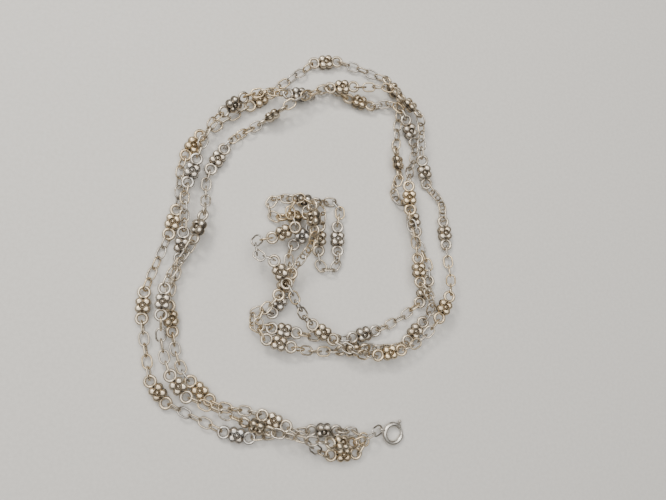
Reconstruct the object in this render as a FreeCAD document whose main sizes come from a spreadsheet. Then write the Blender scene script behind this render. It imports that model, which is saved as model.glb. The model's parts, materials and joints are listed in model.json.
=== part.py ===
"""Long guard chain of flower stations and trace links, with a bolt ring clasp.

The chain lies in three strands side by side, with its plain end heaped in the middle.
Each station is two stamped flower halves, back to back, between two soldered loops.
Five oval trace links join one station to the next. Millimetres, +Z up.
"""
import FreeCAD, Part
import math
import os

Vector = FreeCAD.Vector
Rotation = FreeCAD.Rotation
Placement = FreeCAD.Placement

# A wire's size and every size "across", "long" or "wide" is a full width; the rest are radii
# or distances from a centre.
SIZES = {
    "link_wire": 0.58,
    "link_long": 4.80,
    "link_wide": 3.45,
    "loop_wire": 0.95,
    "loop_across": 4.23,
    "loop_offset": 4.05,
    "petal_ball": 1.30,
    "petal_offset": 1.52,
    "petal_rise": 0.26,
    "dish_across": 2.10,
    "dish_floor": 0.80,
    "collar_ring": 0.84,
    "collar_wire": 0.34,
    "bead_ball": 0.48,
    "bead_rise": 0.95,
    "clasp_ring": 3.00,
    "clasp_tube": 0.78,
    "clasp_bore": 0.53,
    "tongue_ball": 0.46,
    "knob_ball": 0.52,
    "knob_stem": 0.28,
    "knob_reach": 1.50,
    "slot_wide": 0.70,
    "eye_ring": 0.95,
    "eye_wire": 0.55,
    "eye_offset": 4.33,
}

# Angles round the bolt ring, in degrees from the side away from its eye.
ANGLES = {
    "gate_start": 10.0,
    "gate_end": 60.0,
    "tongue_tip": 3.0,
    "tongue_tail": 145.0,
    "spring_start": 146.0,
    "spring_stop": 255.0,
    "socket_depth": 14.0,
    "knob_angle": 78.0,
    "knob_travel": 45.0,
    "slot_spare": 8.0,
}

LINKS_PER_GAP = 5
TIGHTEST = 0.73
WIDEST_TURN = 2.0
ROUNDING_TURNS = 200
STRAIGHTNESS = 0.82
UNKINK_SHARE = 0.4
BOW_STEP = 0.2
CLOSEST = SIZES["link_long"] + 0.20
HOOK = SIZES["link_wire"] + 0.25
LOOP_HOOK = (SIZES["link_wire"] + SIZES["loop_wire"]) / 2 + 0.38
HOOK_REACH = (SIZES["link_long"] - SIZES["link_wire"]) / 2
CARRIED = 1.45
CLEARANCE = 0.30
SHARPEST = 0.28
STEEPEST = 0.36
MOST_TURNS = 400
SETTLING_TURNS = 6
REACH = SIZES["link_long"] + 1.6

# The outline points that stand for a wire, and how the links are nudged apart, in millimetres
# and degrees.
OUTLINE_POINTS = 36
SPARE = 0.07
NUDGE_SHIFT = 0.10
NUDGE_TURN = 5.0
NUDGE_ROUNDS = 20
NUDGE_SCALES = (1.0, 0.4, 0.15)
FLOOR_WEIGHT = 10

# The bolt ring's centre and the way that it points, away from its eye, in degrees.
CLASP_X = 19.9
CLASP_Y = -60.15
CLASP_WAY = -20.0
EYE_LIFT = 0.75
TAIL_ROLLS = [40, 100, 160]

# The route, from the plain end to the clasp. A flower's centre, the way that it faces (None
# follows the chain) and its roll; a roll of None marks a bend of the links between flowers.
HEAP_END = [
    (-13.7, 10.3, 185, 50),
    (-20.8, 14.0, 75, None),
    (-10.4, 15.9, -5, 60),
    (1.2, 3.5, -90, 0),
    (-5.3, 3.3, 90, 5),
    (-11.1, 3.6, 225, 0),
    (-18.1, -18.0, -125, 10),
    (-26.3, -22.6, -92, None),
]
LOWER_STRAND = [
    (-16.5, -27.0, -10, -10),
    (10.0, -28.0, None, 15),
    (31.5, -13.5, None, 0),
    (28.0, 11.0, None, -20),
    (22.5, 31.0, None, 50),
    (21.5, 57.5, None, 30),
    (-3.0, 65.5, None, 0),
    (-25.5, 50.0, None, 0),
    (-47.0, 32.5, None, -15),
    (-52.5, 7.0, None, 0),
    (-60.5, -19.5, None, 0),
    (-55.0, -45.8, None, 10),
    (-31.0, -59.2, None, 0),
    (-3.5, -58.5, -2, 20),
    (9.2, -62.3, -90, None),
]
MIDDLE_STRAND = [
    (3.0, -66.0, 182, 0),
    (-19.5, -55.0, None, 0),
    (-42.5, -45.5, None, 0),
    (-52.0, -23.5, None, 20),
    (-49.5, -0.5, None, 0),
    (-47.0, 23.5, None, 0),
    (-34.4, 46.4, None, 40),
    (-12.5, 52.5, None, 0),
    (9.0, 52.0, None, -15),
    (27.0, 42.5, None, 0),
    (25.5, 18.0, None, 15),
    (29.0, -6.5, None, 0),
    (28.0, -27.0, None, 0),
    (6.0, -33.0, None, -40),
    (-18.5, -31.0, None, 0),
]
HEAP_TURN = [
    (-25.0, -23.5, 85, None),
    (-16.9, -12.3, 60, 0),
    (-8.7, 8.5, 95, -50),
    (-17.5, 4.4, 205, -10),
    (-25.0, -1.5, -88, None),
    (-18.9, -8.9, -60, 20),
]
UPPER_STRAND = [
    (-4.5, -27.5, None, 0),
    (18.0, -34.0, None, 0),
    (37.0, -19.0, None, 0),
    (39.5, 7.0, None, 0),
    (32.0, 28.0, None, -15),
    (26.3, 51.2, None, 40),
    (2.0, 55.5, None, 0),
    (-21.5, 44.0, None, 85),
    (-39.0, 28.5, None, 0),
    (-44.5, 5.0, None, 40),
    (-54.5, -18.5, None, 0),
    (-49.0, -44.0, None, 0),
    (-25.0, -56.5, None, 40),
    (1.5, -62.0, -4, -25),
]
# The heap's stations, by their order in the chain, share two nodes.
HEAP_STATIONS = {
    **{order: "heap_stations_plain_end" for order in range(6)},
    **{order: "heap_stations_turn" for order in range(35, 39)},
}
STRETCHES = [
    ("heap_end", HEAP_END),
    ("lower_strand", LOWER_STRAND),
    ("middle_strand", MIDDLE_STRAND),
    ("heap_turn", HEAP_TURN),
    ("upper_strand", UPPER_STRAND),
]

# Lean of the first link of each gap from its flower's plane, in turn along the chain.
LEANS = [66, 114, 90, 70, 110, 84, 64, 116, 96]


class Piece:
    """One flower, loop or link on the route: its place, plan heading and roll."""

    def __init__(self, kind, x, y, yaw, roll):
        self.kind = kind
        self.x = x
        self.y = y
        self.yaw = yaw
        self.roll = roll
        self.rise = 0.0
        self.node = None

    def measure(self):
        """Note the wire's or the domes' points about the centre, as the piece is turned."""
        points, self.radius = OUTLINES[self.kind]
        self.points = [self.placement.Rotation.multVec(point) for point in points]
        self.rest = self.radius - min(point.z for point in self.points)
        if self.kind == "link":
            self.rest = max(self.rest, CARRIED)


def ring_points(radius, straight, count):
    """Centre line of a ring or of an oval link lying in its own plane, long way along X."""
    half = math.pi * radius + straight
    points = []
    for step in range(count):
        along = 2 * half * (step + 0.5) / count
        side = 1 if along < half else -1
        along %= half
        if along < straight:
            point = Vector(straight / 2 - along, radius, 0)
        else:
            angle = math.pi / 2 + (along - straight) / radius
            point = Vector(radius * math.cos(angle) - straight / 2, radius * math.sin(angle), 0)
        points.append(point * side)
    return points


def dome_points():
    """Centres of the eight petal domes of a flower, four on each face."""
    reach = SIZES["petal_offset"] / math.sqrt(2)
    rise = SIZES["petal_rise"]
    sides = (-1, 1)
    return [Vector(a * reach, b * reach, c * rise) for a in sides for b in sides for c in sides]


LINK_BEND = (SIZES["link_wide"] - SIZES["link_wire"]) / 2
LINK_STRAIGHT = SIZES["link_long"] - SIZES["link_wide"]
LOOP_BEND = (SIZES["loop_across"] - SIZES["loop_wire"]) / 2
OUTLINES = {
    "link": (ring_points(LINK_BEND, LINK_STRAIGHT, OUTLINE_POINTS), SIZES["link_wire"] / 2),
    "loop": (ring_points(LOOP_BEND, 0.0, OUTLINE_POINTS), SIZES["loop_wire"] / 2),
    "eye": (ring_points(SIZES["eye_ring"], 0.0, OUTLINE_POINTS), SIZES["eye_wire"] / 2),
    "flower": (dome_points(), SIZES["petal_ball"]),
}

# Distances between centres when the chain is pulled tight.
LINK_PITCH = SIZES["link_long"] - 2 * SIZES["link_wire"]
LOOP_PITCH = (SIZES["loop_across"] + SIZES["link_long"]) / 2 - SIZES["loop_wire"] - SIZES["link_wire"]
EYE_PITCH = SIZES["link_long"] / 2 - SIZES["link_wire"] + SIZES["eye_ring"] - SIZES["eye_wire"] / 2
TAUT_GAP = 2 * LOOP_PITCH + (LINKS_PER_GAP - 1) * LINK_PITCH
TAUT_TAIL = LOOP_PITCH + (len(TAIL_ROLLS) - 1) * LINK_PITCH + EYE_PITCH


def whole_route():
    """The flowers and bends in order, each [x, y, yaw in radians, roll, stretch name]."""
    route = [[*place, name] for name, stretch in STRETCHES for place in stretch]
    for index, place in enumerate(route):
        if place[2] is None:
            before = route[index - 1]
            after = route[min(index + 1, len(route) - 1)]
            place[2] = math.degrees(math.atan2(after[1] - before[1], after[0] - before[0]))
    for place in route:
        place[2] = math.radians(place[2])
    return route


def pulls(start, end):
    """How strongly a curve follows its two headings, so that an even turn comes out round."""
    across = (end[0] - start[0], end[1] - start[1])
    chord = math.hypot(*across)
    turn = abs((end[2] - start[2] + math.pi) % (2 * math.pi) - math.pi)
    turn = min(max(turn, 0.01), WIDEST_TURN)
    roundness = 4 * math.tan(turn / 4) / math.sin(turn)
    strengths = []
    for yaw in (start[2], end[2]):
        forward = across[0] * math.cos(yaw) + across[1] * math.sin(yaw)
        strengths.append(roundness * max(forward, 0.5 * chord))
    return strengths


def curve(start, end, count=60):
    """Plan points of a smooth curve between two (x, y, yaw) places, along their headings."""
    first_pull, last_pull = pulls(start, end)
    points = []
    for step in range(count + 1):
        t = step / count
        at_start = 2 * t ** 3 - 3 * t ** 2 + 1
        at_end = 1 - at_start
        leaving = first_pull * (t ** 3 - 2 * t ** 2 + t)
        reaching = last_pull * (t ** 3 - t ** 2)
        x = at_start * start[0] + at_end * end[0]
        y = at_start * start[1] + at_end * end[1]
        x += leaving * math.cos(start[2]) + reaching * math.cos(end[2])
        y += leaving * math.sin(start[2]) + reaching * math.sin(end[2])
        points.append((x, y))
    return points


def length_of(points):
    return sum(math.dist(one, other) for one, other in zip(points, points[1:]))


def joined_curve(places):
    """The curve through a list of places."""
    points = []
    for start, end in zip(places, places[1:]):
        points += curve(start, end)[bool(points):]
    return points


def gap_curve(start, end, bends):
    """The curve of a gap, through its bends, or bowed sideways as far as its links need."""
    points = joined_curve([start, *bends, end])
    if bends:
        return points
    yaw = math.atan2(end[1] - start[1], end[0] - start[0])
    side = math.copysign(1.0, math.sin(start[2] - yaw) - math.sin(end[2] - yaw))
    bow = 0.0
    while length_of(points) < TIGHTEST * TAUT_GAP:
        bow += BOW_STEP
        x = (start[0] + end[0]) / 2 - side * bow * math.sin(yaw)
        y = (start[1] + end[1]) / 2 + side * bow * math.cos(yaw)
        points = joined_curve([start, (x, y, yaw), end])
    return points


def point_along(points, distance):
    """The point that far along a line of points, and the line's heading there."""
    for one, other in zip(points, points[1:]):
        step = math.dist(one, other)
        if distance <= step:
            part = distance / step
            x = one[0] + part * (other[0] - one[0])
            y = one[1] + part * (other[1] - one[1])
            return x, y, math.atan2(other[1] - one[1], other[0] - one[0])
        distance -= step
    last, end = points[-2], points[-1]
    return end[0], end[1], math.atan2(end[1] - last[1], end[0] - last[0])


def station_pieces(x, y, yaw, roll):
    """A loop, the flower and the other loop, in order along the chain."""
    pieces = []
    for kind, shift in (("loop", -1), ("flower", 0), ("loop", 1)):
        reach = shift * SIZES["loop_offset"]
        pieces.append(Piece(kind, x + reach * math.cos(yaw), y + reach * math.sin(yaw), yaw, roll))
    return pieces


def spread(points):
    """Places of the links along a gap's curve, at even shares of its length."""
    scale = length_of(points) / TAUT_GAP
    reach = [scale * (LOOP_PITCH + index * LINK_PITCH) for index in range(LINKS_PER_GAP)]
    return [point_along(points, distance)[:2] for distance in reach]


def push(chain, one, other, change):
    """Move two points of a chain apart by change in all, or together if it is negative."""
    dx = chain[other][0] - chain[one][0]
    dy = chain[other][1] - chain[one][1]
    span = math.hypot(dx, dy)
    movable = [index for index in (one, other) if 1 < index < len(chain) - 2]
    for index in movable:
        share = change / len(movable) / span * (1 if index == other else -1)
        chain[index] = (chain[index][0] + share * dx, chain[index][1] + share * dy)


def turned(one, other):
    """The angle from one heading to another, between half a turn each way."""
    return (other - one + math.pi) % (2 * math.pi) - math.pi


def way(one, other):
    return math.atan2(other[1] - one[1], other[0] - one[0])


def facing(chain, index):
    """The way that a loop or link of a gap points: a loop is fixed to its flower."""
    first = index - 1 if index != len(chain) - 2 else index
    last = index + 1 if index != 1 else index
    return way(chain[first], chain[last])


def unkink(chain):
    """Round off a gap's turns: the outer two points at each end are its flowers and loops."""
    for turn in range(ROUNDING_TURNS):
        for index in range(len(chain) - 2):
            back = math.dist(chain[index], chain[index + 1])
            ahead = math.dist(chain[index + 1], chain[index + 2])
            across = math.dist(chain[index], chain[index + 2])
            nearest = STRAIGHTNESS * (back + ahead)
            if 0 < index < len(chain) - 3:
                nearest = max(nearest, CLOSEST)
            if across < nearest:
                push(chain, index, index + 2, UNKINK_SHARE * (nearest - across))
        for index in range(1, len(chain) - 2):
            bend = turned(facing(chain, index), facing(chain, index + 1))
            hooked = HOOK_REACH + HOOK_REACH
            least = HOOK
            if index in (1, len(chain) - 3):
                hooked = HOOK_REACH + LOOP_BEND
                least = LOOP_HOOK
            furthest = hooked * math.cos(bend / 2) - least
            excess = math.dist(chain[index], chain[index + 1]) - furthest
            if excess > 0:
                push(chain, index, index + 1, -excess)
    return chain[2:-2]


def gap_pieces(station, following, bends, lean):
    """The trace links from one station to the next, turned a quarter each time."""
    flower, before = station[1:]
    after, next_flower = following[:2]
    points = gap_curve((before.x, before.y, before.yaw), (after.x, after.y, after.yaw), bends)
    ends = [(piece.x, piece.y) for piece in (flower, before, after, next_flower)]
    places = unkink(ends[:2] + spread(points) + ends[2:])
    pieces = []
    for index, (x, y) in enumerate(places):
        share = (index + 1) / (LINKS_PER_GAP + 1)
        roll = before.roll + share * (after.roll - before.roll) + lean - 90 * (index % 2)
        pieces.append(Piece("link", x, y, 0.0, roll))
    return pieces


def clasp_placement():
    """The bolt ring lies on its far side, with its eye held up by the last tail link."""
    eye_height = SIZES["eye_ring"] + SIZES["eye_wire"] / 2 + EYE_LIFT
    climb = (eye_height - SIZES["clasp_tube"]) / (SIZES["eye_offset"] + SIZES["clasp_ring"])
    rise = SIZES["clasp_tube"] + climb * SIZES["clasp_ring"]
    tilt = Rotation(Vector(0, 1, 0), math.degrees(math.asin(climb)))
    turn = Rotation(Vector(0, 0, 1), CLASP_WAY) * tilt
    return Placement(Vector(CLASP_X, CLASP_Y, rise), turn)


def eye_piece():
    """The bolt ring's eye, which stands on edge in line with the chain."""
    standing = Placement(Vector(-SIZES["eye_offset"], 0, 0), Rotation(Vector(1, 0, 0), 90))
    place = clasp_placement() * standing
    eye = Piece("eye", place.Base.x, place.Base.y, math.radians(CLASP_WAY), 90)
    eye.placement = place
    eye.node = "clasp"
    return eye


def tail_pieces(loop, eye):
    """The links from the last station to the bolt ring's eye."""
    points = curve((loop.x, loop.y, loop.yaw), (eye.x, eye.y, eye.yaw))
    scale = length_of(points) / TAUT_TAIL
    pieces = []
    for index, roll in enumerate(TAIL_ROLLS):
        x, y = point_along(points, scale * (LOOP_PITCH + index * LINK_PITCH))[:2]
        pieces.append(Piece("link", x, y, 0.0, roll))
        pieces[-1].node = "tail_link_%d" % (index + 1)
    return pieces


def lay_out():
    """Every piece of the chain in order, at its place in plan."""
    pieces = []
    bends = []
    count = 0
    for x, y, yaw, roll, name in whole_route():
        if roll is None:
            bends.append((x, y, yaw))
            continue
        station = station_pieces(x, y, yaw, roll)
        if pieces:
            links = gap_pieces(pieces[-3:], station, bends, LEANS[count % len(LEANS)])
            for link in links:
                link.node = name
            pieces += links
        for piece in station:
            piece.node = count
        pieces += station
        bends = []
        count += 1
    pieces += tail_pieces(pieces[-1], eye_piece())
    return pieces


def needed_rise(upper, lower):
    """How far upper's centre has to be over lower's for it to lie on it, or None if clear."""
    upper_points, upper_radius = upper.points, upper.radius
    lower_points, lower_radius = lower.points, lower.radius
    reach = upper_radius + lower_radius + CLEARANCE
    dx = upper.x - lower.x
    dy = upper.y - lower.y
    best = None
    for p in upper_points:
        px = p.x + dx
        py = p.y + dy
        for q in lower_points:
            ex = px - q.x
            ey = py - q.y
            spare = reach * reach - ex * ex - ey * ey
            if spare > 0:
                rise = q.z - p.z + math.sqrt(spare)
                if best is None or rise > best:
                    best = rise
    return best


def find_supports(pieces):
    """For each piece, the ones laid before it that it would lie on, and how far above."""
    supports = []
    for index, piece in enumerate(pieces):
        found = []
        for other in range(index - 2):
            lower = pieces[other]
            if math.hypot(piece.x - lower.x, piece.y - lower.y) > REACH:
                continue
            if piece.node == lower.node and "link" not in (piece.kind, lower.kind):
                continue
            rise = needed_rise(piece, lower)
            if rise is not None:
                found.append((other, rise))
        supports.append(found)
    return supports


def straighten(before, flower, after):
    """Keep a flower and its two loops in line, raising only."""
    middle = (before.rise + after.rise) / 2
    if flower.rise <= middle:
        flower.rise = middle
    elif flower.rise > max(before.rise, after.rise):
        before.rise = flower.rise
        after.rise = flower.rise
    else:
        lower = min(before, after, key=lambda piece: piece.rise)
        lower.rise += 2 * (flower.rise - middle)


def ease(pieces, spans):
    """Raise what has to rise for the chain to bend no more sharply than it can."""
    for index in range(1, len(pieces) - 1):
        before, piece, after = pieces[index - 1:index + 2]
        back, ahead = spans[index - 1], spans[index]
        if piece.kind == "flower":
            straighten(before, piece, after)
            continue
        before.rise = max(before.rise, piece.rise - STEEPEST * back)
        after.rise = max(after.rise, piece.rise - STEEPEST * ahead)
        fold = (piece.rise - before.rise) / back - (after.rise - piece.rise) / ahead
        excess = abs(fold) - SHARPEST
        if excess <= 0:
            continue
        if fold < 0:
            piece.rise += excess * back * ahead / (back + ahead)
        elif before.rise < after.rise:
            before.rise += excess * back
        else:
            after.rise += excess * ahead


def stack(pieces):
    """Raise each piece onto what it lies on, easing the chain up and down to it."""
    for piece in pieces:
        piece.measure()
        piece.rise = piece.rest
    supports = find_supports(pieces)
    spans = [math.hypot(a.x - b.x, a.y - b.y) for a, b in zip(pieces, pieces[1:])]
    for turn in range(MOST_TURNS):
        before = [piece.rise for piece in pieces]
        for index, found in enumerate(supports):
            for other, rise in found:
                pieces[index].rise = max(pieces[index].rise, pieces[other].rise + rise)
        ease(pieces, spans)
        if max(piece.rise - old for piece, old in zip(pieces, before)) < 0.002:
            return
    raise RuntimeError("the chain does not settle: its route doubles back on itself")


def place_pieces(pieces):
    """Give each piece its placement, pitched along the chain and rolled about it."""
    for index, piece in enumerate(pieces):
        first = pieces[max(index - 1, 0)]
        last = pieces[min(index + 1, len(pieces) - 1)]
        if piece.kind == "loop" and first.kind == "flower":
            last = piece
        if piece.kind == "loop" and last.kind == "flower":
            first = piece
        along = Vector(last.x - first.x, last.y - first.y, last.rise - first.rise)
        pitch = math.degrees(math.atan2(along.z, math.hypot(along.x, along.y)))
        yaw = math.degrees(math.atan2(along.y, along.x))
        turn = Rotation(Vector(0, 0, 1), yaw) * Rotation(Vector(0, 1, 0), -pitch)
        turn = turn * Rotation(Vector(1, 0, 0), piece.roll)
        piece.placement = Placement(Vector(piece.x, piece.y, piece.rise), turn)


def settle(pieces):
    """Lay the chain down, tilting the pieces to the slopes that the last turn gave."""
    place_pieces(pieces)
    for turn in range(SETTLING_TURNS):
        stack(pieces)
        place_pieces(pieces)
    pieces[-1].rise = (pieces[-2].rise + eye_piece().placement.Base.z) / 2
    place_pieces(pieces)
    ahead = Placement(Vector(SIZES["loop_offset"], 0, 0), Rotation())
    for before, piece, after in zip(pieces, pieces[1:], pieces[2:]):
        if piece.kind == "flower":
            before.placement = piece.placement * ahead.inverse()
            after.placement = piece.placement * ahead


def outline(piece, placement):
    """The points of a piece's wire or domes, as (x, y, z), when it is placed so."""
    points = [placement.multVec(point) for point in OUTLINES[piece.kind][0]]
    return [(point.x, point.y, point.z) for point in points]


def gap_between(points, others):
    """The least distance between two sets of points."""
    least = min((px - qx) ** 2 + (py - qy) ** 2 + (pz - qz) ** 2
                for px, py, pz in points for qx, qy, qz in others)
    return math.sqrt(least)


def nudges(scale):
    """Small shifts along a piece's own axes, and small turns about them."""
    moves = []
    for axis in (Vector(1, 0, 0), Vector(0, 1, 0), Vector(0, 0, 1)):
        for sign in (-scale, scale):
            moves.append(Placement(axis * (sign * NUDGE_SHIFT), Rotation()))
            moves.append(Placement(Vector(), Rotation(axis, sign * NUDGE_TURN)))
    return moves


def room(piece, placement, near):
    """How far a piece, placed so, is clear of the pieces near it and of the floor."""
    points = outline(piece, placement)
    radius = OUTLINES[piece.kind][1]
    best = SPARE + min(min(point[2] for point in points) - radius, 0.0) * FLOOR_WEIGHT
    for other in near:
        best = min(best, gap_between(points, other.outline) - radius - OUTLINES[other.kind][1])
    return best


def hang_clear(pieces):
    """Nudge each link that is too near to another piece until it hangs clear of all of them."""
    for piece in pieces:
        piece.outline = outline(piece, piece.placement)
        centre = piece.placement.Base
        piece.near = [other for other in pieces
                      if other is not piece and centre.distanceToPoint(other.placement.Base) < REACH]
    links = [piece for piece in pieces if piece.kind == "link"]
    crowded = links
    for turn in range(NUDGE_ROUNDS):
        crowded = [link for link in links if room(link, link.placement, link.near) < SPARE]
        for link in crowded:
            best = room(link, link.placement, link.near)
            for scale in NUDGE_SCALES:
                places = [link.placement * move for move in nudges(scale)]
                rooms = [room(link, place, link.near) for place in places]
                if max(rooms) > best:
                    link.placement = places[rooms.index(max(rooms))]
                    link.outline = outline(link, link.placement)
                    break
        if not crowded:
            break
    print("links still within %.2f mm: %d" % (SPARE, len(crowded)))


# The document, and the sheet that holds its sizes.
doc = FreeCAD.newDocument("FlowerStationChain")
sheet = doc.addObject("Spreadsheet::Sheet", "Sizes")
for row, (name, value) in enumerate({**SIZES, **ANGLES}.items(), start=1):
    sheet.set("A%d" % row, name)
    sheet.set("B%d" % row, str(value))
    sheet.setAlias("B%d" % row, name)
doc.recompute()


def make(kind, name, **expressions):
    """A Part object whose properties follow the sheet's cells, by expression."""
    made = doc.addObject("Part::" + kind, name)
    for prop, expression in expressions.items():
        made.setExpression(prop.replace("_", "."), expression)
    return made


def joined(name, shapes):
    fuse = doc.addObject("Part::MultiFuse", name)
    fuse.Shapes = shapes
    return fuse


def trimmed(kind, name, base, tool):
    """A Cut or a Common of two objects."""
    result = doc.addObject("Part::" + kind, name)
    result.Base = base
    result.Tool = tool
    return result


def link_master():
    """An oval trace link: two half rings and two straight sides, long way along X."""
    shapes = []
    for side, angle in ((1, -90), (-1, 90)):
        bend = make(
            "Torus", "LinkBend",
            Radius1="(Sizes.link_wide - Sizes.link_wire) / 2",
            Radius2="Sizes.link_wire / 2",
            Angle3="180",
            Placement_Base_x="%d * (Sizes.link_long - Sizes.link_wide) / 2" % side,
        )
        bend.Placement.Rotation = Rotation(Vector(0, 0, 1), angle)
        straight = make(
            "Cylinder", "LinkSide",
            Radius="Sizes.link_wire / 2",
            Height="Sizes.link_long - Sizes.link_wide",
            Placement_Base_x="-(Sizes.link_long - Sizes.link_wide) / 2",
            Placement_Base_y="%d * (Sizes.link_wide - Sizes.link_wire) / 2" % side,
        )
        straight.Placement.Rotation = Rotation(Vector(0, 1, 0), 90)
        shapes += [bend, straight]
    return joined("TraceLink", shapes)


def loop_master(name, side):
    """A station's loop, where it stands beside the flower."""
    return make(
        "Torus", name,
        Radius1="(Sizes.loop_across - Sizes.loop_wire) / 2",
        Radius2="Sizes.loop_wire / 2",
        Placement_Base_x="%d * Sizes.loop_offset" % side,
    )


def flower_half_master(loops):
    """The upper half of a flower: four domed petals, a dish with a rolled collar, and a bead."""
    shapes = [
        make("Cylinder", "Dish", Radius="Sizes.dish_across / 2", Height="Sizes.dish_floor"),
        make(
            "Torus", "Collar",
            Radius1="Sizes.collar_ring",
            Radius2="Sizes.collar_wire / 2",
            Placement_Base_z="Sizes.dish_floor",
        ),
        make("Sphere", "Bead", Radius="Sizes.bead_ball", Placement_Base_z="Sizes.bead_rise"),
    ]
    for a, b in ((-1, -1), (-1, 1), (1, -1), (1, 1)):
        shapes.append(make(
            "Sphere", "Petal",
            Radius="Sizes.petal_ball",
            Placement_Base_x="%d * Sizes.petal_offset / sqrt(2)" % a,
            Placement_Base_y="%d * Sizes.petal_offset / sqrt(2)" % b,
            Placement_Base_z="Sizes.petal_rise",
        ))
    upper = make(
        "Box", "UpperSide",
        Length="8 * Sizes.petal_ball",
        Width="8 * Sizes.petal_ball",
        Height="4 * Sizes.petal_ball",
        Placement_Base_x="-4 * Sizes.petal_ball",
        Placement_Base_y="-4 * Sizes.petal_ball",
    )
    half = trimmed("Common", "FlowerHalf", joined("WholeFlower", shapes), upper)
    return trimmed("Cut", "SeatedHalf", half, joined("LoopSeats", loops))


def rod_along_ring(name, radius, start, stop):
    """A round rod that follows the bolt ring from one angle to another."""
    rod = make(
        "Torus", name,
        Radius1="Sizes.clasp_ring",
        Radius2=radius,
        Angle3="%s - (%s)" % (stop, start),
    )
    rod.Placement.Rotation = Rotation(Vector(0, 0, 1), 1)
    rod.setExpression("Placement.Rotation.Angle", start)
    return rod


def bolt_ring_tube():
    """The hollow ring: open at the gate, bored for bolt and spring, slotted for the knob."""
    tube = rod_along_ring("RingTube", "Sizes.clasp_tube", "Sizes.gate_end", "360 + Sizes.gate_start")
    bore = rod_along_ring("RingBore", "Sizes.clasp_bore", "Sizes.gate_end - 1", "Sizes.spring_stop")
    socket = rod_along_ring(
        "TipSocket", "Sizes.clasp_bore",
        "Sizes.gate_start - Sizes.socket_depth", "Sizes.gate_start + 1",
    )
    outside = make(
        "Cylinder", "SlotOutside",
        Radius="Sizes.clasp_ring + 2 * Sizes.clasp_tube",
        Height="Sizes.slot_wide",
        Angle="Sizes.knob_travel + 2 * Sizes.slot_spare",
        Placement_Base_z="-Sizes.slot_wide / 2",
    )
    outside.Placement.Rotation = Rotation(Vector(0, 0, 1), 1)
    outside.setExpression("Placement.Rotation.Angle", "Sizes.knob_angle - Sizes.slot_spare")
    inside = make(
        "Cylinder", "SlotInside",
        Radius="Sizes.clasp_ring",
        Height="2 * Sizes.slot_wide",
        Placement_Base_z="-Sizes.slot_wide",
    )
    slot = trimmed("Cut", "KnobSlot", outside, inside)
    return trimmed("Cut", "BoltRingTube", tube, joined("RingHollows", [bore, socket, slot]))


def bolt_ring_eye():
    """The small ring that stands on edge, soldered to the outside of the tube."""
    ring = make(
        "Torus", "EyeRing",
        Radius1="Sizes.eye_ring",
        Radius2="Sizes.eye_wire / 2",
        Placement_Base_x="-Sizes.eye_offset",
    )
    ring.Placement.Rotation = Rotation(Vector(1, 0, 0), 90)
    seat = make("Torus", "EyeSeat", Radius1="Sizes.clasp_ring", Radius2="Sizes.clasp_tube")
    return trimmed("Cut", "BoltRingEye", ring, seat)


def bolt():
    """The curved bolt that closes the gate."""
    return rod_along_ring("Bolt", "Sizes.tongue_ball", "Sizes.tongue_tip", "Sizes.tongue_tail")


def bolt_knob(tongue):
    """The thumb knob: a stem out of the bolt's side, with a ball on its end."""
    angle = math.radians(ANGLES["knob_angle"])
    stem = make("Cylinder", "KnobStem", Radius="Sizes.knob_stem", Height="Sizes.knob_reach")
    ball = make("Sphere", "KnobBall", Radius="Sizes.knob_ball")
    for made, reach in ((stem, "Sizes.clasp_ring"), (ball, "(Sizes.clasp_ring + Sizes.knob_reach)")):
        outward = Vector(math.cos(angle), math.sin(angle), 0)
        made.Placement.Rotation = Rotation(Vector(0, 0, 1), outward)
        made.setExpression("Placement.Base.x", reach + " * cos(Sizes.knob_angle * 1deg)")
        made.setExpression("Placement.Base.y", reach + " * sin(Sizes.knob_angle * 1deg)")
    return trimmed("Cut", "BoltKnob", joined("KnobWhole", [stem, ball]), tongue)


def bolt_spring():
    """The space of the coil spring in the bore, as a closed sleeve."""
    outer = rod_along_ring(
        "SpringOutside", "Sizes.tongue_ball",
        "Sizes.spring_start", "Sizes.spring_stop - 1",
    )
    inner = rod_along_ring(
        "SpringInside", "Sizes.tongue_ball / 2",
        "Sizes.spring_start - 1", "Sizes.spring_stop",
    )
    return trimmed("Cut", "BoltSpring", outer, inner)


def sub_part(label, shape, placement):
    """A sub-part of the chain: a shape in its own frame, put at its place."""
    feature = doc.addObject("Part::Feature", label)
    feature.Label = label
    feature.Shape = shape
    feature.Placement = placement
    return feature


def footprint_centre(pieces, clasp):
    """The middle of the whole chain's footprint."""
    spots = [(x, y, OUTLINES[piece.kind][1])
             for piece in pieces for x, y, z in outline(piece, piece.placement)]
    ring = ring_points(SIZES["clasp_ring"], 0.0, 4 * OUTLINE_POINTS)
    knob = math.radians(ANGLES["knob_angle"])
    knob_reach = SIZES["clasp_ring"] + SIZES["knob_reach"]
    ball = clasp.multVec(Vector(knob_reach * math.cos(knob), knob_reach * math.sin(knob), 0))
    spots += [(point.x, point.y, SIZES["clasp_tube"]) for point in map(clasp.multVec, ring)]
    spots.append((ball.x, ball.y, SIZES["knob_ball"]))
    middle = []
    for axis in (0, 1):
        lowest = min(spot[axis] - spot[2] for spot in spots)
        highest = max(spot[axis] + spot[2] for spot in spots)
        middle.append((lowest + highest) / 2)
    return Vector(middle[0], middle[1], 0)


pieces = lay_out()
settle(pieces)
clasp = clasp_placement()
hang_clear(pieces + [eye_piece()])
to_origin = Placement(-footprint_centre(pieces, clasp), Rotation())

link = link_master()
near_loop = loop_master("NearLoop", -1)
far_loop = loop_master("FarLoop", 1)
front_half = flower_half_master([near_loop, far_loop])
tube = bolt_ring_tube()
eye = bolt_ring_eye()
tongue = bolt()
knob = bolt_knob(tongue)
spring = bolt_spring()
doc.recompute()

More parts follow.
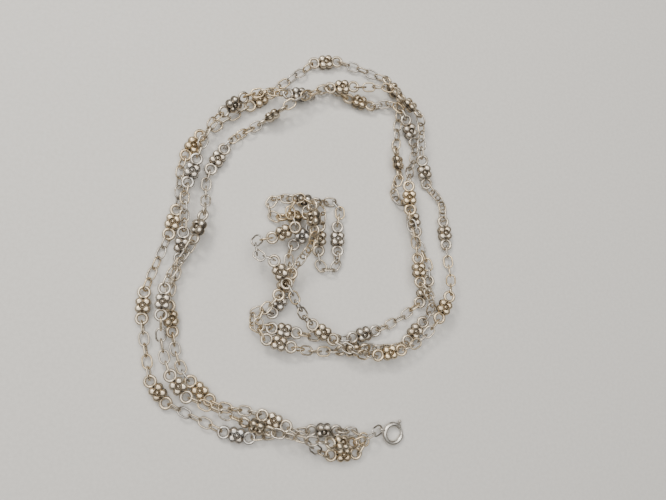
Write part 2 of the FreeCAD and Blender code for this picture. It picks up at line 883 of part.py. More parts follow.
back_shape = front_half.Shape.mirror(Vector(0, 0, 0), Vector(0, 0, 1))
station_shape = Part.makeCompound([front_half.Shape, back_shape, near_loop.Shape, far_loop.Shape])
sub_parts = []
for label, made in (
    ("bolt_ring_tube", tube),
    ("bolt_ring_eye", eye),
    ("bolt", tongue),
    ("bolt_knob", knob),
    ("bolt_spring", spring),
):
    sub_parts.append(sub_part(label, made.Shape, to_origin * clasp))
groups = {}
for piece in pieces:
    if piece.kind == "loop":
        continue
    master = link.Shape if piece.kind == "link" else station_shape
    if piece.kind == "flower" and piece.node not in HEAP_STATIONS:
        label = "flower_station_%02d" % (piece.node + 1)
        sub_parts.append(sub_part(label, master, to_origin * piece.placement))
        continue
    if piece.kind == "flower":
        label = HEAP_STATIONS[piece.node]
    elif piece.node.startswith("tail"):
        label = piece.node
    else:
        label = "trace_links_" + piece.node
    placed = master.copy()
    placed.Placement = to_origin * piece.placement
    groups.setdefault(label, []).append(placed)
for label, shapes in groups.items():
    sub_parts.append(sub_part(label, Part.makeCompound(shapes), Placement()))
doc.recompute()

faults = [made.Label for made in doc.Objects if "Invalid" in made.State or "Error" in made.State]
faults += [made.Label for made in sub_parts if made.Shape.isNull() or not made.Shape.isValid()]
if faults:
    raise RuntimeError("not built soundly: " + ", ".join(faults))

os.makedirs("parts", exist_ok=True)
for made in sub_parts:
    made.Shape.exportStep("parts/" + made.Label + ".step")
print("wrote %d sub-parts" % len(sub_parts))
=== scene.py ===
"""Looks of a long silver guard chain: flower stations, trace links and a bolt ring clasp.

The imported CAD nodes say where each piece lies. This script finds each solid's centre and axes
in its node, and puts a finer piece there: wire with a soldered seam, stamped flower halves with
domed petals, a collared dish and a bead, and the bolt ring with its bolt, knob and spring.
Sizes are in millimetres and are scaled to metres on the way into Blender.
"""
import json
import math

import bpy
import numpy as np
from mathutils import Matrix

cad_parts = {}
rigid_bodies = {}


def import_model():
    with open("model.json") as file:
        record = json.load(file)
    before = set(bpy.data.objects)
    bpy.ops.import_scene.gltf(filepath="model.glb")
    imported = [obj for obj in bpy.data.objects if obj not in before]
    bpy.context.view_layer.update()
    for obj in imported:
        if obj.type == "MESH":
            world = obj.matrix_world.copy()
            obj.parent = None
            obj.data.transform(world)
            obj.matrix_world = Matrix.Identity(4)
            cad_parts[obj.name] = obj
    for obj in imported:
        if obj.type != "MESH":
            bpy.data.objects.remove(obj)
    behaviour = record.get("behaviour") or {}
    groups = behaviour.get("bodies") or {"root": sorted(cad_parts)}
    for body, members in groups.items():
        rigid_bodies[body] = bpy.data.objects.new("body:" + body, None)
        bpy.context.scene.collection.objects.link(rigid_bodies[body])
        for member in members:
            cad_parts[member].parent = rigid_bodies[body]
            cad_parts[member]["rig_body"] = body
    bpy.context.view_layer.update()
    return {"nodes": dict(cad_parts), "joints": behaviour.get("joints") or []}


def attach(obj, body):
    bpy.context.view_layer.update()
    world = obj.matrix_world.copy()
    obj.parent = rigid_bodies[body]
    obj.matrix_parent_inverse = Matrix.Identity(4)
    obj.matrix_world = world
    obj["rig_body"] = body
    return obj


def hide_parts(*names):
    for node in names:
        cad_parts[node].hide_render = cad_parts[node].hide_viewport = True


for leftover in list(bpy.data.objects):
    bpy.data.objects.remove(leftover)
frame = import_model()

MM = 0.001
SEED = 53
SAME_SPOT_DECIMALS = 4
TONE_MIDDLE, TONE_SPREAD = 0.5, 0.22

LINK = {"long": 4.80, "wide": 3.45, "wire": 0.58}
LOOP = {"across": 4.23, "wire": 0.95, "offset": 4.05}
PETAL = {"ball": 1.30, "offset": 1.52, "rise": 0.26}
DISH = {
    "floor": 0.62, "bead": 0.48, "bead_rise": 0.92,
    "collar": 0.76, "collar_wire": 0.13, "foot": 0.96, "rim": 1.12,
}
CLASP = {
    "ring": 3.00, "tube": 0.78, "wall": 0.24, "bolt": 0.46,
    "eye": 0.95, "eye_wire": 0.55, "eye_offset": 4.33, "eye_half_turn": 128.0,
}
KNOB = {"angle": 78.0, "reach": 1.50, "ball": 0.52, "stem": 0.28, "travel": 45.0, "spare": 8.0}
FULLNESS = 2.5
GATE = (10.0, 60.0)
BOLT = (3.0, 145.0)
SPRING = (147.0, 253.0)
COIL = {"turns": 15, "points_per_turn": 22, "radius": 0.36, "wire": 0.07}
SEAM = {"at": 0.06, "lump": 0.16, "spread": 0.012, "edge": 0.02, "edge_spread": 0.008}
CREASE = {"spread": 0.13, "depth": 0.10}
SLOT_HALF_ANGLE = 23.0
LIP = {"length": 0.12, "outside": 0.07, "inside": 0.04}


def rng_for(name):
    """A random source that depends on a piece's name only."""
    share = sum(ord(letter) * (place + 1) for place, letter in enumerate(name))
    return np.random.default_rng(SEED + share)


# ---------------------------------------------------------------- shapes in their own frames

class Shape:
    """Points, faces and each point's darkening (0 exposed, 1 deep or shaded) in a piece's own frame, in mm:
    painted shade in hollows and under parts, with some real tarnish.
    """

    def __init__(self, points, faces, shade_and_tarnish):
        self.points = np.asarray(points, float)
        self.faces = np.asarray(faces, int)
        self.shade_and_tarnish = np.asarray(shade_and_tarnish, float)

    def moved(self, matrix):
        """The same shape under a 4x4 matrix."""
        points = self.points @ matrix[:3, :3].T + matrix[:3, 3]
        faces = self.faces if np.linalg.det(matrix[:3, :3]) > 0 else self.faces[:, ::-1]
        return Shape(points, faces, self.shade_and_tarnish)


def merged(shapes):
    """Several shapes as one."""
    starts = np.cumsum([0] + [len(shape.points) for shape in shapes[:-1]])
    return Shape(
        np.vstack([shape.points for shape in shapes]),
        np.vstack([shape.faces + start for shape, start in zip(shapes, starts)]),
        np.concatenate([shape.shade_and_tarnish for shape in shapes]),
    )


def grid_faces(rows, columns, close_rows, close_columns):
    """Quads over a grid of points, whose edges may meet."""
    row = np.arange(rows if close_rows else rows - 1)
    column = np.arange(columns if close_columns else columns - 1)
    r, c = np.meshgrid(row, column, indexing="ij")
    r2, c2 = (r + 1) % rows, (c + 1) % columns
    quads = [r * columns + c, r2 * columns + c, r2 * columns + c2, r * columns + c2]
    return np.stack([quad.ravel() for quad in quads], 1)


def oval_line(radius, straight, count):
    """Points, headings and shares of the way round of a stadium's centre line."""
    total = 2 * (math.pi * radius + straight)
    along = (np.arange(count) + 0.5) / count * total
    half = total / 2
    side = np.where(along < half, 1.0, -1.0)
    along = along % half
    angle = math.pi / 2 + np.maximum(along - straight, 0) / radius
    x = np.where(along < straight, straight / 2 - along, radius * np.cos(angle) - straight / 2)
    y = np.where(along < straight, radius, radius * np.sin(angle))
    outward = np.stack([np.cos(angle), np.sin(angle), 0 * x], 1) * side[:, None]
    return np.stack([x, y, 0 * x], 1) * side[:, None], outward, np.arange(count) / count


def wire_ring(radius, straight, wire, count, sides, seam_at, seam_size):
    """A closed ring of round wire, with the small lump of its soldered seam."""
    centre, outward, share = oval_line(radius, straight, count)
    away = (share - seam_at + 0.5) % 1 - 0.5
    seam = np.exp(-(away / SEAM["spread"]) ** 2)
    thick = wire / 2 * (1 + seam_size * seam)
    around = 2 * np.pi * np.arange(sides) / sides
    up = np.array([0, 0, 1.0])
    section = np.cos(around)[None, :, None] * outward[:, None, :] + np.sin(around)[None, :, None] * up
    points = centre[:, None, :] + thick[:, None, None] * section
    # The wire's inner side, facing the ring's middle, is darkened: painted shade. The darkened edges of the
    # seam's lump are its solder line.
    edge = np.exp(-((np.abs(away) - SEAM["edge"]) / SEAM["edge_spread"]) ** 2)
    inner = np.clip(-np.cos(around), 0, 1)
    shade_and_tarnish = 0.55 * inner[None, :] + 0.55 * edge[:, None]
    faces = grid_faces(count, sides, True, True)
    return Shape(points.reshape(-1, 3), faces[:, ::-1], shade_and_tarnish.ravel())


def link_shape():
    """An oval trace link."""
    bend = (LINK["wide"] - LINK["wire"]) / 2
    straight = LINK["long"] - LINK["wide"]
    return wire_ring(bend, straight, LINK["wire"], 56, 14, SEAM["at"], SEAM["lump"])


def loop_shape(side):
    """A station's loop, with its seam hidden at the flower and painted shade where it's soldered in between
    the flower's halves.
    """
    ring = wire_ring((LOOP["across"] - LOOP["wire"]) / 2, 0.0, LOOP["wire"], 64, 20, 0.0, 0.0)
    ring.points[:, 0] += side * LOOP["offset"]
    reach = np.hypot(ring.points[:, 0], ring.points[:, 1])
    # Darker near the flower, where the loop goes in between the halves: painted shade. The wire's own
    # inner-side shade is kept at a quarter.
    ring.shade_and_tarnish = 0.25 * ring.shade_and_tarnish + 0.9 * np.clip((2.95 - reach) / 0.7, 0, 1)
    return ring


def pillow(radius, reach):
    """The height of a dome that is a little fuller than a ball."""
    share = np.clip(reach / radius, 0, 1)
    return radius * (1 - share ** FULLNESS) ** (1 / FULLNESS)


def petal_height(x, y):
    """The four domes' height over the seam, and how near a point is to the creases between."""
    offset = PETAL["offset"] / math.sqrt(2)
    domes = []
    for a in (-1, 1):
        for b in (-1, 1):
            domes.append(pillow(PETAL["ball"], np.hypot(x - a * offset, y - b * offset)))
    domes = np.sort(np.stack(domes), 0)
    crease = np.exp(-((domes[3] - domes[2]) / CREASE["spread"]) ** 2)
    return PETAL["rise"] + domes[3] - CREASE["depth"] * crease, crease


def flower_outline(angle):
    """How far the four petals reach from the centre, at their widest."""
    offset = PETAL["offset"]
    nearest = (angle % (math.pi / 2)) - math.pi / 4
    across = offset * np.sin(nearest)
    return offset * np.cos(nearest) + np.sqrt(np.maximum(PETAL["ball"] ** 2 - across ** 2, 0.02))


def flower_half():
    """A stamped half: domed petals round a dish with a low collar and a bead."""
    turns = 96
    bead, collar, wire = DISH["bead"], DISH["collar"], DISH["collar_wire"]
    inner = bead * np.array([0.2, 0.42, 0.62, 0.8, 0.93, 1.0, 1.1])
    middle_rings = collar + wire * np.array([-1.1, -0.8, -0.4, 0.0, 0.4, 0.8, 1.1])
    wall = np.linspace(DISH["foot"] - 0.04, DISH["rim"] + 0.06, 6)
    share = np.sin(np.linspace(0.0, math.pi / 2, 17)[1:])
    angle = 2 * np.pi * np.arange(turns) / turns
    edge = flower_outline(angle)
    rings = [np.full(turns, r) for r in (*inner, *middle_rings, *wall)]
    rings += [wall[-1] + s * (edge - wall[-1]) for s in share]
    reach = np.array(rings)
    x, y = reach * np.cos(angle), reach * np.sin(angle)
    high, crease = petal_height(x, y)
    high = np.where(reach >= edge - 1e-6, PETAL["rise"], high)
    slope = np.clip((reach - DISH["foot"]) / (DISH["rim"] - DISH["foot"]), 0, 1)
    slope = slope * slope * (3 - 2 * slope)
    high = DISH["floor"] + (high - DISH["floor"]) * slope
    ridge = wire ** 2 - (reach - collar) ** 2
    high = np.where(ridge > 0, DISH["floor"] + 1.3 * np.sqrt(np.maximum(ridge, 0)), high)
    high = np.where(reach < bead, DISH["bead_rise"] + pillow(bead, reach), high)
    # Painted shade: the dish round the bead, the creases between the petals and the petals' low sides are
    # darkened, as shade falls there; the dish also holds some real tarnish.
    dish = np.clip((reach - bead * 0.9) / 0.08, 0, 1) * np.clip((DISH["rim"] - reach) / 0.14, 0, 1)
    shade_and_tarnish = dish * np.where(ridge > 0, 0.55, 1.0) + 0.85 * crease * np.clip((reach - 0.9) / 0.3, 0, 1)
    shade_and_tarnish += 0.80 * np.clip((1.05 - high) / 0.7, 0, 1) * (reach > DISH["rim"])
    # The rings under the petals' edge, where the two halves meet, are darkened: painted shade between the
    # halves.
    lower = []
    for inset, height, depth in ((0.005, 0.16, 0.55), (0.02, 0.08, 0.7), (0.07, 0.02, 1.0), (0.16, 0.0, 1.0)):
        r = edge - inset
        lower.append(np.stack([r * np.cos(angle), r * np.sin(angle), np.full(turns, height)], 1))
        shade_and_tarnish = np.vstack([shade_and_tarnish, np.full(turns, depth)])
    points = np.vstack([np.stack([x, y, high], 2).reshape(-1, 3), np.array(lower).reshape(-1, 3)])
    faces = grid_faces(len(reach) + len(lower), turns, False, True)
    top = len(points)
    points = np.vstack([points, [[0, 0, DISH["bead_rise"] + bead]]])
    fan = np.stack([np.full(turns, top), np.arange(turns), (np.arange(turns) + 1) % turns], 1)
    fan = np.hstack([fan, fan[:, 2:]])
    shade_and_tarnish = np.append(shade_and_tarnish.ravel(), 0.0)
    return Shape(points, np.vstack([faces, fan]), np.clip(shade_and_tarnish, 0, 1))


def station_shape():
    """Two halves back to back, and the two loops soldered between them."""
    front = flower_half()
    flip = np.diag([1.0, 1.0, -1.0, 1.0])
    return merged([front, front.moved(flip), loop_shape(-1), loop_shape(1)])


def swept(centre, across, up, thick, sides, shade_and_tarnish):
    """A rod along an open line, with a round section and closed ends."""
    around = 2 * np.pi * np.arange(sides) / sides
    cosine, sine = np.cos(around)[None, :, None], np.sin(around)[None, :, None]
    section = cosine * across[:, None, :] + sine * up[:, None, :]
    points = (centre[:, None, :] + thick[:, None, None] * section).reshape(-1, 3)
    total = len(points)
    turn = np.arange(sides)
    after = (turn + 1) % sides
    first = np.stack([np.full(sides, total), turn, after, after], 1)
    last = total - sides + np.stack([turn, turn, after, after], 1)
    last[:, 0] = total + 1
    last = last[:, [0, 2, 1, 1]]
    faces = np.vstack([grid_faces(len(centre), sides, False, True)[:, ::-1], first, last])
    depth = np.append(np.repeat(shade_and_tarnish, sides), [shade_and_tarnish[0], shade_and_tarnish[-1]])
    return Shape(np.vstack([points, centre[:1], centre[-1:]]), faces, depth)


def softened(share, length, rounding):
    """How full a rod is along its length, 1 but for its rounded ends."""
    from_end = np.clip(np.minimum(share, 1 - share) * length / rounding, 0, 1)
    return np.sqrt(1 - (1 - from_end) ** 2)


def ring_arc(ring, start, stop, count, power=1.0):
    """Shares, points and outward directions along an arc about Z, closer together at its ends."""
    share = np.linspace(-1, 1, count)
    share = 0.5 + 0.5 * np.sign(share) * (1 - (1 - np.abs(share)) ** power)
    angle = np.radians(start + share * (stop - start))
    outward = np.stack([np.cos(angle), np.sin(angle), 0 * angle], 1)
    return share, ring * outward, outward


def arc_rod(ring, radius, start, stop, count, sides, rounding):
    """A round rod bent to an arc, with rounded ends."""
    share, centre, outward = ring_arc(ring, start, stop, count, 1.8)
    soft = softened(share, ring * math.radians(stop - start), rounding)
    up = np.tile([0.0, 0.0, 1.0], (count, 1))
    # The rod is darkened towards its thinned ends: painted shade where it meets other parts.
    return swept(centre, outward, up, radius * np.maximum(soft, 0.35), sides, 0.25 * (1 - soft))


def open_edges(faces):
    """The edges that only one face has, in that face's direction."""
    edges = {}
    for face in faces.tolist():
        for start, end in zip(face, face[1:] + face[:1]):
            edges[start, end] = True
    return np.array([(start, end) for start, end in edges if (end, start) not in edges])


def clasp_tube():
    """The hollow ring with its gate and the knob's slot: an outer and an inner skin, joined."""
    sides, step = 32, 1.25
    start, stop = GATE[1], 360.0 + GATE[0]
    count = int((stop - start) / step) + 1
    angle = start + step * np.arange(count)
    share = (angle - start) / (stop - start)
    outward = np.stack([np.cos(np.radians(angle)), np.sin(np.radians(angle)), 0 * angle], 1)
    around = 2 * np.pi * (np.arange(sides) + 0.5) / sides
    up = np.array([0, 0, 1.0])
    section = np.cos(around)[None, :, None] * outward[:, None, :] + np.sin(around)[None, :, None] * up
    lip = 1 - softened(share, CLASP["ring"] * math.radians(stop - start), LIP["length"])
    centre = CLASP["ring"] * outward[:, None, :]
    outer = centre + (CLASP["tube"] - LIP["outside"] * lip)[:, None, None] * section
    inner = centre + (CLASP["tube"] - CLASP["wall"] + LIP["inside"] * lip)[:, None, None] * section
    faces = grid_faces(count, sides, False, True)[:, ::-1]
    along, turn = np.divmod(np.arange(len(faces)), sides)
    turn_angle = np.degrees(around[turn]) + 180.0 / sides
    beside = np.abs((turn_angle + 180.0) % 360.0 - 180.0)
    at = angle[along] + step / 2
    slot_start = KNOB["angle"] - KNOB["spare"]
    slot_stop = KNOB["angle"] + KNOB["travel"] + KNOB["spare"]
    slot = (beside < SLOT_HALF_ANGLE) & (at > slot_start) & (at < slot_stop)
    skin = faces[~slot]
    total = count * sides
    rims = open_edges(skin)
    rim = np.stack([rims[:, 1], rims[:, 0], rims[:, 0] + total, rims[:, 1] + total], 1)
    seam = 0.45 * np.exp(-((np.degrees(around) - 180.0) / 9.0) ** 2)
    # Painted shade: the gate's lips, the edges of the gate and the slot, and the whole inner skin of the bore
    # are darkened, as shade falls there.
    shade_and_tarnish = np.tile(seam, count) + np.repeat(0.3 * lip, sides)
    shade_and_tarnish[rims.ravel()] = 0.7
    points = np.vstack([outer.reshape(-1, 3), inner.reshape(-1, 3)])
    return Shape(points, np.vstack([skin, skin[:, ::-1] + total, rim]), np.append(shade_and_tarnish, np.ones(total)))


def clasp_eye():
    """The eye's wire, from one side of its seat on the tube round to the other."""
    start, stop = 180 - CLASP["eye_half_turn"], 180 + CLASP["eye_half_turn"]
    shape = arc_rod(CLASP["eye"], CLASP["eye_wire"] / 2, start, stop, 60, 18, 0.02)
    stand = np.array([[1, 0, 0, -CLASP["eye_offset"]], [0, 0, -1, 0], [0, 1, 0, 0], [0, 0, 0, 1.0]])
    # The eye's wire is darkened near both ends, where it meets the tube: painted shade between the parts.
    reach = np.abs(np.arange(len(shape.points)) / len(shape.points) - 0.5)
    shape.shade_and_tarnish = np.clip((reach - 0.40) / 0.1, 0, 1) * 0.9
    return shape.moved(stand)


def clasp_bolt():
    """The curved tongue inside the tube."""
    return arc_rod(CLASP["ring"], CLASP["bolt"], BOLT[0], BOLT[1], 90, 24, CLASP["bolt"])


def clasp_knob():
    """The turned thumb knob: a stem, a groove and a flattened ball."""
    ball, stem, reach = KNOB["ball"], KNOB["stem"], KNOB["reach"]
    profile = [(0.30, stem * 1.15), (0.45, stem), (0.86, stem), (0.90, stem * 1.1)]
    for turn in np.linspace(-60, 78, 13):
        profile.append((reach + ball * math.sin(math.radians(turn)), ball * math.cos(math.radians(turn))))
    along = np.array([height for height, width in profile])
    thick = np.array([width for height, width in profile])
    centre = np.stack([CLASP["ring"] + along, 0 * along, 0 * along], 1)
    across = np.tile([0.0, 1.0, 0.0], (len(profile), 1))
    up = np.tile([0.0, 0.0, 1.0], (len(profile), 1))
    # The stem under the ball is darkened: painted shade under the ball and in the slot.
    shade_and_tarnish = np.where(along < 1.0, 0.75, 0.05)
    shape = swept(centre, up, across, thick, 28, shade_and_tarnish)
    turn = math.radians(KNOB["angle"])
    place = np.eye(4)
    place[:2, :2] = [[math.cos(turn), -math.sin(turn)], [math.sin(turn), math.cos(turn)]]
    return shape.moved(place)


def clasp_spring():
    """The coil spring in the bore behind the bolt."""
    count = COIL["turns"] * COIL["points_per_turn"]
    _, centre, outward = ring_arc(CLASP["ring"], SPRING[0], SPRING[1], count)
    angle = 2 * np.pi * np.arange(count) / COIL["points_per_turn"]
    up = np.array([0, 0, 1.0])
    away = np.cos(angle)[:, None] * outward + np.sin(angle)[:, None] * up
    line = centre + COIL["radius"] * away
    along = np.gradient(line, axis=0)
    along /= np.linalg.norm(along, axis=1)[:, None]
    thick = np.full(count, COIL["wire"])
    # The whole spring is darkened: painted shade inside the bore.
    return swept(line, away, np.cross(away, along), thick, 8, np.full(count, 0.6))


# ---------------------------------------------------------------- from CAD node to places

def solids_of(node):
    """The corner points of each separate solid of a CAD node, in mm: faces that meet are one."""
    mesh = frame["nodes"][node].data
    points = np.empty(len(mesh.vertices) * 3)
    mesh.vertices.foreach_get("co", points)
    points = points.reshape(-1, 3) / MM
    edges = np.empty(len(mesh.edges) * 2, int)
    mesh.edges.foreach_get("vertices", edges)
    spots, spot_of = np.unique(np.round(points, SAME_SPOT_DECIMALS), axis=0, return_inverse=True)
    edges = spot_of.ravel()[edges].reshape(-1, 2)
    label = np.arange(len(spots))
    before = None
    while before is None or not np.array_equal(before, label):
        before = label.copy()
        least = np.minimum(label[edges[:, 0]], label[edges[:, 1]])
        np.minimum.at(label, edges[:, 0], least)
        np.minimum.at(label, edges[:, 1], least)
        label = label[label]
    return [spots[label == value] for value in np.unique(label)]


def frame_matrix(centre, along, up):
    """The 4x4 matrix of a place with its X along one direction and its Z near another."""
    x = along / np.linalg.norm(along)
    z = up - x * np.dot(up, x)
    z /= np.linalg.norm(z)
    matrix = np.eye(4)
    matrix[:3, :3] = np.stack([x, np.cross(z, x), z], 1)
    matrix[:3, 3] = centre
    return matrix


def middle(points):
    """The centre of a solid that is the same on both sides: half way between its ends."""
    spread = points - points.mean(0)
    axes = np.linalg.eigh(spread.T @ spread)[1]
    turned = points @ axes
    return axes @ ((turned.min(0) + turned.max(0)) / 2), axes


def link_place(points):
    """An oval link's place: X along it, Z square to its plane."""
    centre, axes = middle(points)
    return frame_matrix(centre, axes[:, 2], axes[:, 0])


def loop_pair_misfit(pair):
    """How far two loops are from lying on opposite sides of a flower, at a loop's distance."""
    one, other = pair
    return np.linalg.norm(one[0] + other[0]) + abs(np.linalg.norm(one[0]) - LOOP["offset"])


def station_places(node):
    """The places of a node's stations. A loop is a thin ring, and the rest are flowers."""
    loops, flowers = [], []
    for points in solids_of(node):
        centre, axes = middle(points)
        thickness = np.ptp(points @ axes[:, 0])
        (loops if thickness < 1.5 * LOOP["wire"] else flowers).append((centre, axes[:, 0]))
    places = []
    for centre, _ in flowers:
        if places and min(np.linalg.norm(place[:3, 3] - centre) for place in places) < PETAL["ball"]:
            continue
        far = [(loop - centre, up) for loop, up in loops]
        pairs = [(one, other) for index, one in enumerate(far) for other in far[index + 1:]]
        one, other = min(pairs, key=loop_pair_misfit)
        places.append(frame_matrix(centre + (one[0] + other[0]) / 2, one[0] - other[0], one[1]))
    return places


def clasp_place():
    """The bolt ring's own frame: its centre and axis are its bolt's, and X points away from its eye."""
    joint = next(joint for joint in frame["joints"] if joint["name"] == "bolt_slide")
    centre = np.array(joint["pos_m"]) / MM
    eye = middle(np.vstack(solids_of("bolt_ring_eye")))[0]
    return frame_matrix(centre, centre - eye, np.array(joint["axis"]))


# ---------------------------------------------------------------- Blender objects

def add_object(name, shape, tone, material):
    """A mesh object in metres, with each point's darkening (painted shade with some tarnish) and tone."""
    mesh = bpy.data.meshes.new(name)
    mesh.vertices.add(len(shape.points))
    mesh.vertices.foreach_set("co", (shape.points * MM).astype(np.float32).ravel())
    triangles = shape.faces[:, 2] == shape.faces[:, 3]
    sizes = np.where(triangles, 3, 4)
    corners = np.ones(shape.faces.shape, bool)
    corners[triangles, 3] = False
    mesh.loops.add(int(sizes.sum()))
    mesh.loops.foreach_set("vertex_index", shape.faces[corners].astype(np.int32))
    mesh.polygons.add(len(sizes))
    mesh.polygons.foreach_set("loop_start", (np.cumsum(sizes) - sizes).astype(np.int32))
    mesh.update(calc_edges=True)
    mesh.validate()
    mesh.polygons.foreach_set("use_smooth", np.full(len(mesh.polygons), True))
    for label, values in (("shade_and_tarnish", shape.shade_and_tarnish), ("tone", tone)):
        attribute = mesh.attributes.new(label, "FLOAT", "POINT")
        attribute.data.foreach_set("value", np.asarray(values, np.float32))
    mesh.materials.append(material)
    made = bpy.data.objects.new(name, mesh)
    bpy.context.scene.collection.objects.link(made)
    return made


def copies(shape, places, rng):
    """A shape at many places as one, with a tone of its own for each."""
    tones = np.clip(rng.normal(TONE_MIDDLE, TONE_SPREAD, len(places)), 0, 1)
    whole = merged([shape.moved(place) for place in places])
    return whole, np.repeat(tones, len(shape.points))


def stand_for(made, node):
    """Put an object in a CAD node's stead, riding on that node's body."""
    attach(made, frame["nodes"][node]["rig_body"])
    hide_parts(node)


# ---------------------------------------------------------------- materials

def new_material(name):
    """A material, its node tree and its shader."""
    material = bpy.data.materials.new(name)
    material.use_nodes = True
    tree = material.node_tree
    return material, tree, tree.nodes["Principled BSDF"]


def add_node(tree, kind, inputs=None, **settings):
    """A shader node with its settings and inputs; a socket among the inputs is linked."""
    made = tree.nodes.new("ShaderNode" + kind)
    for key, value in settings.items():
        setattr(made, key, value)
    for key, value in (inputs or {}).items():
        if isinstance(value, bpy.types.NodeSocket):
            tree.links.new(value, made.inputs[key])
        else:
            made.inputs[key].default_value = value
    return made


def mixed_colour(tree, factor, one, other):
    """One colour turning into another as a factor goes from 0 to 1."""
    made = add_node(tree, "Mix", data_type="RGBA")
    tree.links.new(factor, made.inputs[0])
    for socket, value in ((made.inputs[6], one), (made.inputs[7], other)):
        if isinstance(value, bpy.types.NodeSocket):
            tree.links.new(value, socket)
        else:
            socket.default_value = (*value, 1.0)
    return made.outputs[2]


def remapped(tree, value, low, high, to_low, to_high):
    """A value's range stretched to another range, and held at its ends."""
    made = add_node(tree, "MapRange", {0: value, 1: low, 2: high, 3: to_low, 4: to_high})
    return made.outputs[0]


def maths(tree, operation, one, other):
    """Two values added or multiplied, and held between 0 and 1."""
    made = add_node(tree, "Math", operation=operation, use_clamp=True)
    for socket, value in ((made.inputs[0], one), (made.inputs[1], other)):
        if isinstance(value, bpy.types.NodeSocket):
            tree.links.new(value, socket)
        else:
            socket.default_value = value
    return made.outputs[0]


def noise(tree, scale, detail, roughness, stretch=(1, 1, 1)):
    """Noise in the object's own space, in features per metre."""
    place = add_node(tree, "TexCoord").outputs["Object"]
    scaled = add_node(tree, "Mapping", {"Vector": place, "Scale": stretch}).outputs[0]
    inputs = {"Vector": scaled, "Scale": scale, "Detail": detail, "Roughness": roughness}
    made = add_node(tree, "TexNoise", inputs)
    return made.outputs["Fac"]


def tarnished_silver(name, warm, cool, stain, patina_and_shade, tarnish):
    """Worn silver: bright where it's rubbed, brown in films, and nearly black in the recesses and shaded
    places, which is real tarnish together with painted shade.
    """
    material, tree, shader = new_material(name)
    shade_and_tarnish = add_node(tree, "Attribute", attribute_name="shade_and_tarnish").outputs["Fac"]
    tone = add_node(tree, "Attribute", attribute_name="tone").outputs["Fac"]
    cloud = noise(tree, 420.0, 4.0, 0.55)
    speckle = noise(tree, 2600.0, 5.0, 0.65)
    scratch = noise(tree, 1500.0, 3.0, 0.6, (1.0, 9.0, 3.0))
    metal = mixed_colour(tree, remapped(tree, tone, 0.15, 0.85, 0.0, 1.0), warm, cool)
    clouded = maths(tree, "ADD", cloud, maths(tree, "MULTIPLY", speckle, 0.35))
    film = remapped(tree, clouded, 0.55, 0.98, 0.0, tarnish)
    metal = mixed_colour(tree, film, metal, stain)
    # The darkening value turns the metal nearly black: painted shade in hollows and under parts, along with
    # tarnish.
    broken = maths(tree, "ADD", shade_and_tarnish, remapped(tree, speckle, 0.3, 0.8, -0.18, 0.22))
    dark = remapped(tree, broken, 0.30, 0.92, 0.0, 1.0)
    colour = mixed_colour(tree, dark, metal, patina_and_shade)
    tree.links.new(colour, shader.inputs["Base Color"])
    shader.inputs["Metallic"].default_value = 1.0
    worn = remapped(tree, scratch, 0.3, 0.75, 0.28, 0.46)
    # Rougher where the painted shade and the tarnish darken the metal.
    rough_in_shade_and_tarnish = remapped(tree, dark, 0.0, 1.0, 0.0, 0.30)
    rough = maths(tree, "ADD", worn, rough_in_shade_and_tarnish)
    tree.links.new(rough, shader.inputs["Roughness"])
    relief = maths(tree, "ADD", maths(tree, "MULTIPLY", scratch, 0.5), maths(tree, "MULTIPLY", speckle, 0.5))
    bump = add_node(tree, "Bump", {"Height": relief, "Strength": 0.35, "Distance": 0.00004})
    tree.links.new(bump.outputs[0], shader.inputs["Normal"])
    return material


# The near-black last colours are for painted shade together with tarnish in the hollows.
silver = tarnished_silver(
    "tarnished_silver",
    warm=(0.72, 0.59, 0.40), cool=(0.56, 0.55, 0.53), stain=(0.27, 0.19, 0.105), patina_and_shade=(0.022, 0.017, 0.013),
    tarnish=0.80,
)
clasp_silver = tarnished_silver(
    "clasp_silver",
    warm=(0.74, 0.69, 0.60), cool=(0.66, 0.66, 0.65), stain=(0.38, 0.33, 0.27), patina_and_shade=(0.03, 0.026, 0.022),
    tarnish=0.55,
)


# ---------------------------------------------------------------- the chain

for node, made in sorted(frame["nodes"].items()):
    random = rng_for(node)
    if node.startswith("trace_links") or node.startswith("tail_link"):
        places = [link_place(points) for points in solids_of(node)]
        shape, tones = copies(link_shape(), places, random)
        stand_for(add_object(node + ".wire", shape, tones, silver), node)
    elif "station" in node:
        shape, tones = copies(station_shape(), station_places(node), random)
        stand_for(add_object(node + ".silver", shape, tones, silver), node)


# ---------------------------------------------------------------- the bolt ring

place = clasp_place()
for node, shape, slot in (
    ("bolt_ring_tube", clasp_tube(), "clasp_silver"),
    ("bolt_ring_eye", clasp_eye(), "clasp_silver"),
    ("bolt", clasp_bolt(), "clasp_silver"),
    ("bolt_knob", clasp_knob(), "clasp_silver"),
    ("bolt_spring", clasp_spring(), "spring_wire"),
):
    tones = np.full(len(shape.points), TONE_MIDDLE)
    made = add_object(node + ".metal", shape.moved(place), tones, clasp_silver)
    stand_for(made, node)


# ---------------------------------------------------------------- floor, light and camera

def floor_material():
    """Plain pale matt paper."""
    material, tree, shader = new_material("pale_floor")
    grain = noise(tree, 900.0, 3.0, 0.5)
    mottle = remapped(tree, grain, 0.35, 0.65, 0.0, 1.0)
    shade = mixed_colour(tree, mottle, (0.60, 0.59, 0.57), (0.64, 0.63, 0.61))
    tree.links.new(shade, shader.inputs["Base Color"])
    shader.inputs["Roughness"].default_value = 0.9
    return material


def add_floor(half):
    """A level square floor at the chain's underside, from its half width in metres."""
    mesh = bpy.data.meshes.new("floor")
    corners = [(-half, -half, 0), (half, -half, 0), (half, half, 0), (-half, half, 0)]
    mesh.from_pydata(corners, [], [(0, 1, 2, 3)])
    mesh.materials.append(floor_material())
    floor = bpy.data.objects.new("floor", mesh)
    bpy.context.scene.collection.objects.link(floor)


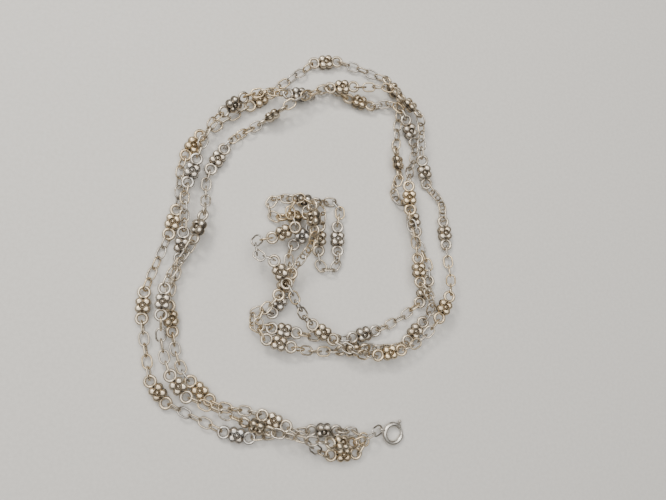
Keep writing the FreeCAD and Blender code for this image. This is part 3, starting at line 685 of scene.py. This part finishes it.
def add_light(name, place, aim, size, power, colour):
    """A soft rectangular light at one place, turned to face another."""
    data = bpy.data.lights.new(name, "AREA")
    data.shape = "RECTANGLE"
    data.size, data.size_y = size
    data.energy = power
    data.color = colour
    light = bpy.data.objects.new(name, data)
    bpy.context.scene.collection.objects.link(light)
    direction = np.array(place) - np.array(aim)
    z = direction / np.linalg.norm(direction)
    x = np.cross([0, 1, 0.01], z)
    x /= np.linalg.norm(x)
    facing = Matrix(np.stack([x, np.cross(z, x), z], 1).tolist())
    light.matrix_world = Matrix.Translation(place) @ facing.to_4x4()


FLOOR_HALF_WIDTH = 2.0
WORLD = {"colour": (0.80, 0.84, 0.90, 1.0), "strength": 0.08}

add_floor(FLOOR_HALF_WIDTH)
add_light("overhead", (-0.10, 0.12, 0.75), (0, 0, 0), (1.30, 1.00), 12.5, (1.0, 0.97, 0.92))
add_light("key", (-0.22, 0.30, 0.40), (0, 0, 0), (0.12, 0.10), 1.5, (1.0, 0.94, 0.84))
world = bpy.data.worlds.new("studio")
bpy.context.scene.world = world
world.use_nodes = True
world.node_tree.nodes["Background"].inputs["Color"].default_value = WORLD["colour"]
world.node_tree.nodes["Background"].inputs["Strength"].default_value = WORLD["strength"]

# The focal length and the frame's width are in one unit, so that only their ratio counts.
CAMERA = {
    "aim": (10.38, 0.08, 0.0), "distance": 218.1, "tilt": (8.51, -12.91),
    "focal": 650.0, "width": 666.0, "sensor": 36.0,
}


def add_camera():
    """Nearly overhead, leaning towards the chain's lower left, with a moderately wide view."""
    data = bpy.data.cameras.new("camera")
    data.sensor_width = CAMERA["sensor"]
    data.lens = data.sensor_width * CAMERA["focal"] / CAMERA["width"]
    data.clip_start = 0.005
    data.clip_end = 10.0
    camera = bpy.data.objects.new("camera", data)
    bpy.context.scene.collection.objects.link(camera)
    about_x, about_y = (math.radians(angle) for angle in CAMERA["tilt"])
    turn = Matrix.Rotation(about_y, 4, "Y") @ Matrix.Rotation(about_x, 4, "X")
    aim = Matrix.Translation([value * MM for value in CAMERA["aim"]])
    camera.matrix_world = aim @ turn @ Matrix.Translation((0, 0, CAMERA["distance"] * MM))
    bpy.context.scene.camera = camera


add_camera()
